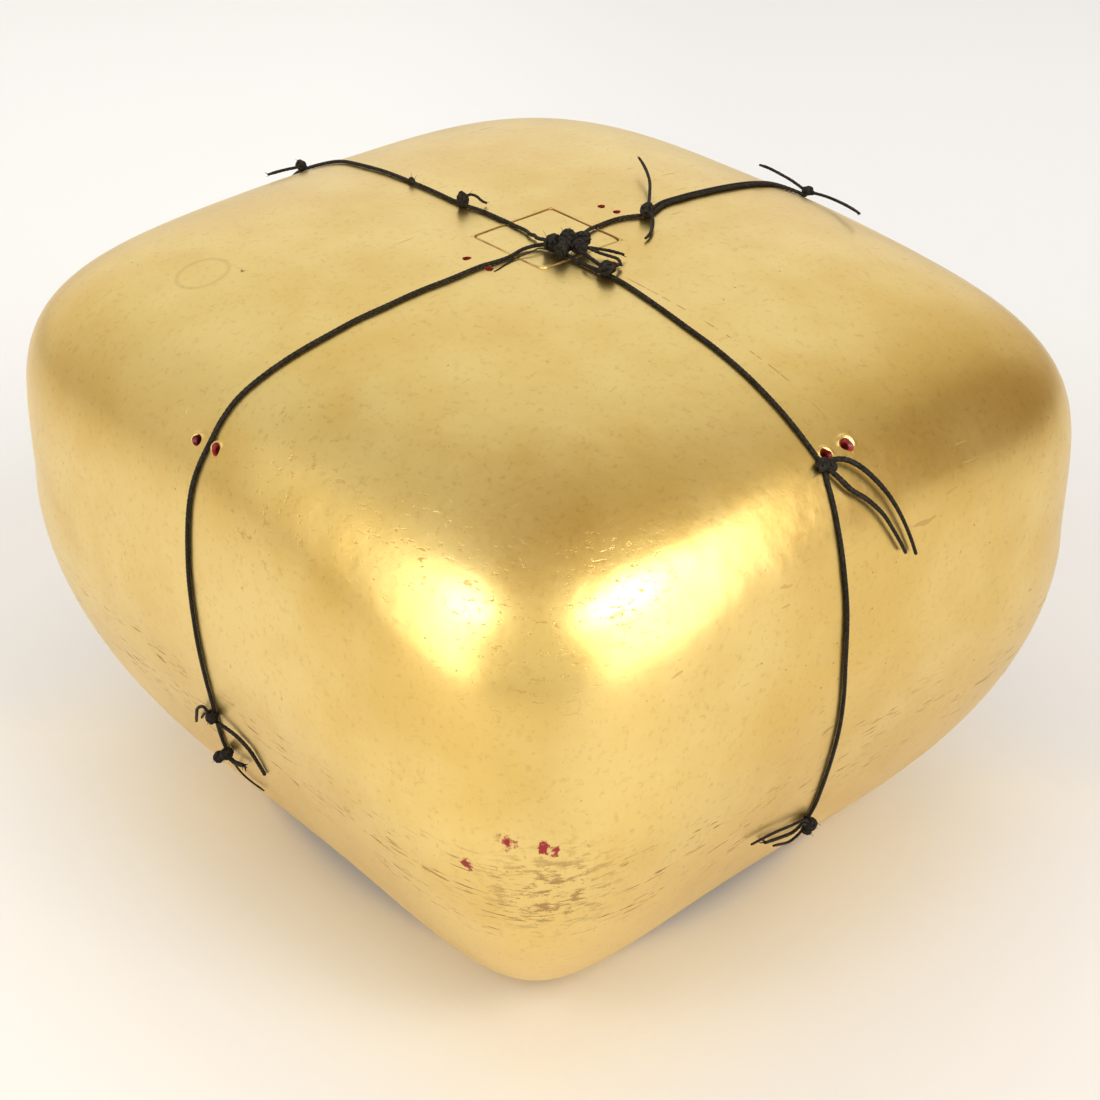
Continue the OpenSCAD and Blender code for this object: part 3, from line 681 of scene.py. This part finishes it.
simple_knot("knot_front_rim", [-95.8, 0.776, 1.9], [-97, 0.765, 1.9], (2.4, 2.2, 2.3),
            [([[-97, 0.790, 1.5], [-95.8, 0.795, 1.6], [-94, 0.789, 1.5], [-92.8, 0.785, 1.2]], 1.9, 9, 1.8),
             ([[-97.5, 0.815, 1], [-98.2, 0.823, 0.8], [-99, 0.849, 0.5], [-98, 0.860, 0.3],
               [-95.8, 0.858, 0.3], [-94.2, 0.856, 0.3]], 0.8, 1, 1)],
            9, 4.5, [([-100, 0.806, 2.6], (2.3, 2.1, 2.2))])

# The knot in the middle of the crown: each lump's half sizes and heading, and its loose ends
CENTRE_HALVES = [(3.8, 3.4, 2.9), (3.4, 2.8, 3.0), (3.3, 3.2, 2.8), (3.0, 2.4, 2.6), (3.6, 2.3, 2.3),
                 (3.2, 2.4, 2.5)]
CENTRE_HEADINGS = [35, -20, 70, -60, 5, 25]
CENTRE_TAILS = [
    ([[18, 0.031, 3], [21.8, 0.030, 3.2], [30.2, 0.031, 3.2], [33.2, 0.034, 3]], 1.9, 8, 1.6),
    ([[8, 0.033, 3], [10.5, 0.034, 3], [17.5, 0.037, 3], [23, 0.038, 2.8]], 1.9, 8, 1.4),
    ([[4, 0.036, 2.4], [9, 0.041, 1.8], [13.8, 0.047, 1.6], [17, 0.054, 1.5], [18.5, 0.062, 1.2]],
     1.2, 3, 1.2),
    ([[2, 0.038, 2.4], [8.5, 0.042, 2], [8.5, 0.052, 1.7], [10, 0.060, 1.5], [10.8, 0.064, 1.2],
      [6.8, 0.070, 0.8]], 1.2, 4, 1.2)]


def centre_knot():
    parts = []
    for k, (place, halves, heading) in enumerate(zip(KNOT_CENTRE, CENTRE_HALVES, CENTRE_HEADINGS)):
        c, n = at(place)
        u = np.array([math.cos(math.radians(heading)), math.sin(math.radians(heading)), 0])
        parts += tangle(c, u, n, halves, loops=5, seed=40 + k)
    for k, (route, d, hairs, reach) in enumerate(CENTRE_TAILS):
        parts += frayed(route_line(route, step=0.5), d, hairs, reach, 50 + k)
    return knot_piece("knot_centre", parts)


def cord_overlap():
    """The small lump where the left cord was pieced together."""
    c, n = at([-180, 0.122, 0.5])
    ahead = towards(c, n, at([-181, 0.149, 0.5])[0])
    lump = joined(tangle(c, ahead, n, (1.7, 1.15, 1.3), d=0.9, loops=3, seed=77))
    return new_object("cord_left_overlap", *lump, [CORD])


def loose_thread():
    line = route_line([[-31, 0.024, 0.3], [-44, 0.023, 0.6], [-56, 0.029, 0.2], [-66, 0.038, -0.3],
                       [-70, 0.048, -0.5], [-71, 0.055, -0.6], [-72, 0.060, -0.7]], step=0.5)
    return new_object("loose_thread", *tube(line, 0.45, plies=2, sides=8, pitch=3), [CORD])


centre_knot()
for o in (cord_overlap(), loose_thread()):
    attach(o, "root")


# ---------------------------------------------------------------- the gilded shell
def even_marks(low, high, spacing):
    """Marks from low to high whose local spacing follows a function."""
    t = np.linspace(low, high, 6000)
    count = np.concatenate([[0], np.cumsum(np.diff(t) / spacing((t[1:] + t[:-1]) / 2))])
    total = int(math.ceil(count[-1]))
    return np.interp(np.linspace(0, count[-1], total + 1), count, t)


def ramp(x, near, far, low, high):
    """From low to high, smoothly, as x goes from near to far."""
    f = np.clip((x - near) / (far - near), 0, 1)
    return low + (high - low) * f * f * (3 - 2 * f)


def angle_step(a):
    """Degrees between columns: close by the hole pairs, which lie near the four axes."""
    off = np.abs((a + 45) % 90 - 45)
    return ramp(off, 5.0, 14, 0.16, 1.5)


def row_step(w):
    """The way between rows: close at the two heights where the hole pairs lie."""
    fine = np.minimum(np.abs(w - 0.065) / 0.022, np.abs(w - 0.298) / 0.040)
    arc = np.linalg.norm(skin(0.0, np.clip(w + 5e-4, 0, 1)) - skin(0.0, np.clip(w - 5e-4, 0, 1)), axis=-1)
    return ramp(fine, 1.0, 2.0, 0.42, 2.2) / (arc / 1e-3).clip(30)


# the widest hole, and how far a lip leans along the slope at the left and right, and elsewhere
BIG_HOLE = (-1.5, 0.5)
SIDE_LEAN, FRONT_LEAN = 0.3, -0.7


def bores():
    """Each hole's middle, its outward normal, whether it has a lip, and its key."""
    found = []
    for a, way, gap, turn in HOLE_PAIRS:
        c, n = skin(a, way), skin_normal(a, way)
        level = unit(np.array([-n[1], n[0], 0]))
        turn = math.radians(turn)
        tangent = math.cos(turn) * level + math.sin(turn) * np.cross(n, level)
        found += [(c + side * gap * tangent, n, way > 0.2, (a, side)) for side in (-0.5, 0.5)]
    return found + [(skin(*place), skin_normal(*place), False, tuple(place)) for place in KNOT_HOLES]


def dents(points):
    """Shallow dents and swells left by hand work, in mm along the normal."""
    middles = RNG.normal(size=(70, 3)) * [90, 85, 50] + [0, 0, 125]
    widths, depths = RNG.uniform(9, 26, 70), RNG.normal(0, 0.16, 70)
    relief = np.zeros(points.shape[:-1])
    for c, w, h in zip(middles, widths, depths):
        relief += h * np.exp(-np.sum((points - c) ** 2, -1) / (2 * w * w))
    return relief


def lip(points, c, n, big):
    """Lacquer raised round a hole, standing up on the uphill side only."""
    d = points - c
    rho = np.linalg.norm(d - (d @ n)[..., None] * n, axis=-1)
    level = unit(np.array([-n[1], n[0], 0]))
    lean = SIDE_LEAN if abs(n[0]) > 0.5 else FRONT_LEAN
    uphill = unit(np.cross(n, level) + lean * level)
    lobe = np.clip(0.15 + 0.85 * (d @ uphill) / np.maximum(rho, 0.1), 0, 1)
    height, radius = (0.75, 2.95) if big else (0.45, 2.3)
    rise = height * lobe * np.exp(-((rho - radius) / 0.5) ** 2)
    return np.where(np.linalg.norm(d, axis=-1) < 8, rise, 0)


def shell_mesh(holes):
    """The hollow shell before it is bored: points, faces and each face's material slot."""
    angles = even_marks(45, 405, angle_step)[:-1]
    ways = even_marks(0.006, 1.0, row_step)
    inner_ways = np.linspace(0.02, 1.0, 44)
    a, w = np.meshgrid(angles, ways)
    outer = skin(a, w)
    relief = dents(outer)
    for c, n, lipped, key in holes:
        if lipped:
            relief += lip(outer, c, n, key == BIG_HOLE)
    outer = outer + relief[..., None] * skin_normal(a, w)
    outer[-1] = skin(angles, 1.0)
    inner = inner_skin(*np.meshgrid(angles, inner_ways[::-1]))
    cols, rows = len(angles), len(ways) + len(inner_ways)
    verts = np.vstack([outer.reshape(-1, 3), inner.reshape(-1, 3),
                       [[0, 0, SHELL_H], [0, 0, SHELL_H - WALL]]])
    faces = [(i * cols + j, (i + 1) * cols + j, (i + 1) * cols + (j + 1) % cols, i * cols + (j + 1) % cols)
             for i in range(rows - 1) for j in range(cols)]
    slots = [0 if i < len(ways) - 1 else 1 for i in range(rows - 1) for j in range(cols)]
    top, last = rows * cols, (rows - 1) * cols
    faces += [(top, j, (j + 1) % cols) for j in range(cols)]
    faces += [(top + 1, last + (j + 1) % cols, last + j) for j in range(cols)]
    return verts, faces, slots + [0] * cols + [1] * cols


def drill(c, n, mouth, depth=12, sides=32):
    """A bore whose mouth opens out unevenly: (points, faces)."""
    side = unit(np.cross(n, [0.3, 0.1, 1.0]))
    other = np.cross(n, side)
    phi = np.linspace(0, 2 * math.pi, sides, endpoint=False)[:, None]
    uneven = 1 + 0.10 * np.sin(2 * phi + c[0]) + 0.06 * np.sin(3 * phi + c[1])
    levels = [(2.4, mouth + 0.7), (0.0, mouth), (-1.2, HOLE_R), (-depth, HOLE_R)]
    rings = [c + r * (uneven if r > HOLE_R else 1) * (np.cos(phi) * side + np.sin(phi) * other) + h * n
             for h, r in levels]
    f = [(q * sides + k, (q + 1) * sides + k, (q + 1) * sides + (k + 1) % sides,
          q * sides + (k + 1) % sides) for q in range(len(levels) - 1) for k in range(sides)]
    f += [tuple(range(sides)), tuple(range(len(levels) * sides - 1, (len(levels) - 1) * sides - 1, -1))]
    return np.vstack(rings), f


def rounded_square(half, r, steps=6):
    """Points round a square whose corners are arcs of radius r."""
    pts = []
    for q in range(4):
        for k in range(steps + 1):
            t = math.radians(90 * (q + k / steps))
            corner = [(1, 1), (-1, 1), (-1, -1), (1, -1)][q]
            pts.append((corner[0] * (half - r) + r * math.cos(t), corner[1] * (half - r) + r * math.sin(t)))
    return np.array(pts)


def plaque_pocket():
    """The recess in the crown for the plaque: (points, faces)."""
    square = rounded_square(PLAQUE_SIDE / 2 + PLAQUE_GAP, CORNER_R) + [PLAQUE_X, PLAQUE_Y]
    m = len(square)
    points = np.vstack([np.column_stack([square, np.full(m, level)])
                        for level in (SHELL_H + 6, SHELL_H - PLAQUE_T - 0.02)])
    sides = [(k, k + m, (k + 1) % m + m, (k + 1) % m) for k in range(m)]
    return points, sides + [tuple(range(m)), tuple(range(2 * m - 1, m - 1, -1))]


def gilded_shell():
    holes = bores()
    verts, faces, slots = shell_mesh(holes)
    shell = new_object("gilded_shell", verts, faces, [GOLD, LACQUER], True, slots)
    mouths = {True: 1.9, False: 1.4}
    drills = [drill(c, n, 2.3 if key == BIG_HOLE else mouths[lipped]) for c, n, lipped, key in holes]
    pocket = plaque_pocket()
    bore_slots = [1] * sum(len(f) for _, f in drills) + [0] * len(pocket[1])
    cutter = new_object("cutter", *joined(drills + [pocket]), [GOLD, LACQUER], False, bore_slots)
    cut = shell.modifiers.new("cut", "BOOLEAN")
    cut.operation, cut.solver, cut.object = "DIFFERENCE", "EXACT", cutter
    bpy.context.view_layer.update()
    cut_shell = shell.evaluated_get(bpy.context.evaluated_depsgraph_get())
    result = bpy.data.meshes.new_from_object(cut_shell)
    shell.modifiers.clear()
    shell.data = result
    bpy.data.objects.remove(cutter)
    return shell


shell = gilded_shell()
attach(shell, "root")
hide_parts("shell")


# ---------------------------------------------------------------- the plaque in the crown
def plaque_top(grid):
    """The plaque's top face as a grid of points, its front corner lifted and its right one sunk."""
    half = PLAQUE_SIDE / 2
    straight = half - CORNER_R
    x, y = (g * half for g in np.meshgrid(np.linspace(-1, 1, grid), np.linspace(-1, 1, grid)))
    over_x, over_y = np.maximum(np.abs(x) - straight, 0), np.maximum(np.abs(y) - straight, 0)
    reach = np.hypot(over_x, over_y)
    outside = (over_x > 0) & (over_y > 0) & (reach > CORNER_R)
    pull = np.where(outside, CORNER_R / np.maximum(reach, 1e-6), 1)
    x = np.sign(x) * (np.minimum(np.abs(x), straight) + over_x * pull)
    y = np.sign(y) * (np.minimum(np.abs(y), straight) + over_y * pull)
    edge = half - np.maximum(np.abs(x), np.abs(y))
    edge = np.minimum(edge, CORNER_R - np.minimum(reach, CORNER_R) + (reach == 0) * CORNER_R)
    front, back = np.hypot(x - half, y + half), np.hypot(x - half, y - half)
    z = SHELL_H - 0.35 * np.exp(-edge / 0.35) + 0.05 * np.sin(x * 0.31 + 1) * np.cos(y * 0.27)
    z = z + 0.55 * np.exp(-(front / 4.0) ** 2) - 0.3 * np.exp(-(back / 3.0) ** 2)
    return np.stack([x, y, z], -1).reshape(-1, 3)


def crown_plaque(grid=60):
    top = plaque_top(grid)
    rim = list(range(grid)) + [i * grid + grid - 1 for i in range(1, grid)]
    rim += [grid * (grid - 1) + i for i in range(grid - 2, -1, -1)]
    rim += [i * grid for i in range(grid - 2, 0, -1)]
    base = top[rim] * [1, 1, 0] + [0, 0, SHELL_H - PLAQUE_T]
    verts = np.vstack([top, base]) + [PLAQUE_X, PLAQUE_Y, 0]
    faces = [(i * grid + j, i * grid + j + 1, (i + 1) * grid + j + 1, (i + 1) * grid + j)
             for i in range(grid - 1) for j in range(grid - 1)]
    first, count = grid * grid, len(rim)
    faces += [(rim[(k + 1) % count], rim[k], first + k, first + (k + 1) % count) for k in range(count)]
    faces += [tuple(range(first + count - 1, first - 1, -1))]
    return new_object("plaque", verts, faces, [PALE_GOLD])


plaque = crown_plaque()
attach(plaque, "root")
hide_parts("crown_plaque")


# ---------------------------------------------------------------- floor
FORWARD = (math.sin(AZIMUTH), -math.cos(AZIMUTH), 0)
RIGHTWARD = (math.cos(AZIMUTH), math.sin(AZIMUTH), 0)
WHITE = (1, 1, 1)


def pale_floor():
    """A pale matt floor with light painted into its colour: lighter behind, painted shade towards the front
    and to the sides, and a painted warm bounce of light from the gold round the object.
    """
    s = Shader("floor")
    painted_falloff = s.math("ADD", s.along(FORWARD), s.product(s.noise(5, 4, 0.6), 0.1))
    side_shade_reach = s.along(RIGHTWARD)
    x, y, _ = s.axes()
    painted_bounce_reach = s.math("MAXIMUM", s.product(s.math("ABSOLUTE", x), 1 / (MM * SHELL_W / 2)),
                    s.product(s.math("ABSOLUTE", y), 1 / (MM * SHELL_D / 2)))
    # painted shade: the floor darkens towards the camera and lightens behind
    painted_light_tint = s.mix(s.band(painted_falloff, -0.75, 0.40), (0.75, 0.77, 0.80), (0.63, 0.617, 0.613))
    # painted shade on the right and at the far sides, and a painted warm, lighter bounce of light near the
    # object
    for mask, colour in ((s.band(side_shade_reach, -0.15, 0.15), (0.91, 0.91, 0.92)),
                         (s.band(s.math("ABSOLUTE", side_shade_reach), 0.35, 0.95), (0.80, 0.74, 0.64)),
                         (s.band(painted_bounce_reach, 0.60, 1.25, 1.0, 0.0), (1.17, 1.10, 0.955))):
        painted_light_tint = s.times(painted_light_tint, s.mix(mask, WHITE, colour))
    spots = s.product(s.band(s.noise(160, 4, 0.7), 0.66, 0.74), 0.12)
    s.put(s.bsdf, "Base Color", s.mix(spots, painted_light_tint, (0.6, 0.56, 0.52)))
    s.bsdf.inputs["Roughness"].default_value = 0.55
    s.put(s.bsdf, "Normal", s.bump(s.noise(500, 3), 0.1, 0.0003))
    return s.material


# how far the floor reaches each way, in mm
REACH = 4000
floor = new_object("floor", [[-REACH, -REACH, 0], [REACH, -REACH, 0], [REACH, REACH, 0], [-REACH, REACH, 0]],
                   [(0, 1, 2, 3)], [pale_floor()], False)

# ---------------------------------------------------------------- the room's light
world = bpy.data.worlds.new("studio")
bpy.context.scene.world = world
world.use_nodes = True
tree = world.node_tree
tree.nodes.clear()


def world_node(kind, links=(), **props):
    """A node of the world, its inputs fed by links, each (socket, output)."""
    node = tree.nodes.new(kind)
    for key, value in props.items():
        setattr(node, key, value)
    for socket, output in links:
        tree.links.new(output, node.inputs[socket])
    return node


def facing(direction):
    """From 0, looking away from a direction, to 1, looking along it."""
    dot = world_node("ShaderNodeVectorMath", [(0, sky)], operation="DOT_PRODUCT")
    dot.inputs[1].default_value = direction
    scaled = world_node("ShaderNodeMapRange", [("Value", dot.outputs["Value"])])
    scaled.inputs["From Min"].default_value = -1
    return scaled.outputs[0]


def world_ramp(factor, stops):
    node = world_node("ShaderNodeValToRGB", [("Fac", factor)])
    node.color_ramp.interpolation = "EASE"
    for k, (position, colour) in enumerate(stops):
        e = node.color_ramp.elements[k] if k < 2 else node.color_ramp.elements.new(position)
        e.position = position
        e.color = (*colour, 1)
    return node.outputs[0]


def world_times(a, b):
    node = world_node("ShaderNodeMix", [(6, a), (7, b)], data_type="RGBA", blend_type="MULTIPLY")
    node.inputs[0].default_value = 1
    return node.outputs[2]


# bright behind the object, a little darker beside it, with warm side walls and a dim warm ceiling
sky = world_node("ShaderNodeTexCoord").outputs["Generated"]
around = world_ramp(facing(FORWARD), [(p, (v, v * 0.985, v * 0.96)) for p, v in (
    (0.0, 1.0), (0.12, 0.98), (0.22, 0.90), (0.30, 0.78), (0.42, 0.74), (0.50, 0.80), (0.62, 0.92),
    (1.0, 0.93))])
sides = world_ramp(facing(RIGHTWARD), [
    (0.0, (0.85, 0.76, 0.62)), (0.12, (0.93, 0.88, 0.80)), (0.25, (0.99, 0.99, 0.98)),
    (0.65, (0.99, 0.98, 0.96)), (0.80, (0.78, 0.70, 0.57)), (0.90, (0.48, 0.36, 0.22)),
    (1.0, (0.48, 0.36, 0.24))])
height = world_node("ShaderNodeSeparateXYZ", [(0, sky)]).outputs["Z"]
ceiling = world_ramp(height, [(0.0, WHITE), (0.80, WHITE), (0.93, (0.78, 0.68, 0.54)),
                              (1.0, (0.62, 0.50, 0.35))])
room = world_times(around, world_times(sides, ceiling))
glow = world_node("ShaderNodeBackground", [("Color", room)])
glow.inputs["Strength"].default_value = 1.0
world_node("ShaderNodeOutputWorld", [("Surface", glow.outputs[0])])


def softbox(name, turn, elevation, distance, width, tall, power, glossy=True):
    """A rectangular light that faces the object, turned from the camera by so many degrees."""
    a = AZIMUTH - math.pi / 2 + math.radians(turn)
    e = math.radians(elevation)
    away = Vector((math.cos(e) * math.cos(a), math.cos(e) * math.sin(a), math.sin(e)))
    light = bpy.data.lights.new(name, "AREA")
    light.shape, light.size, light.size_y = "RECTANGLE", width, tall
    light.energy, light.color = power, (1, 0.985, 0.955)
    o = bpy.data.objects.new(name, light)
    o.location = TARGET + distance * away
    o.rotation_euler = (TARGET - o.location).to_track_quat("-Z", "Y").to_euler()
    o.visible_glossy = glossy
    bpy.context.scene.collection.objects.link(o)


# turn and elevation in degrees, distance, width and height in metres, power in watts
softbox("window_right", 50, 25, 1.9, 1.15, 2.0, 20)
softbox("window_right_pane", 42, 44, 1.75, 0.50, 0.50, 6.5)
softbox("window_left", -52, 24, 1.9, 0.95, 2.0, 13.5)
softbox("window_left_pane", -44, 42, 1.75, 0.28, 0.42, 2.6)
softbox("overhead_fill", 0, 90, 2.2, 2.0, 2.0, 22, glossy=False)

bpy.context.scene.view_settings.view_transform = "Standard"
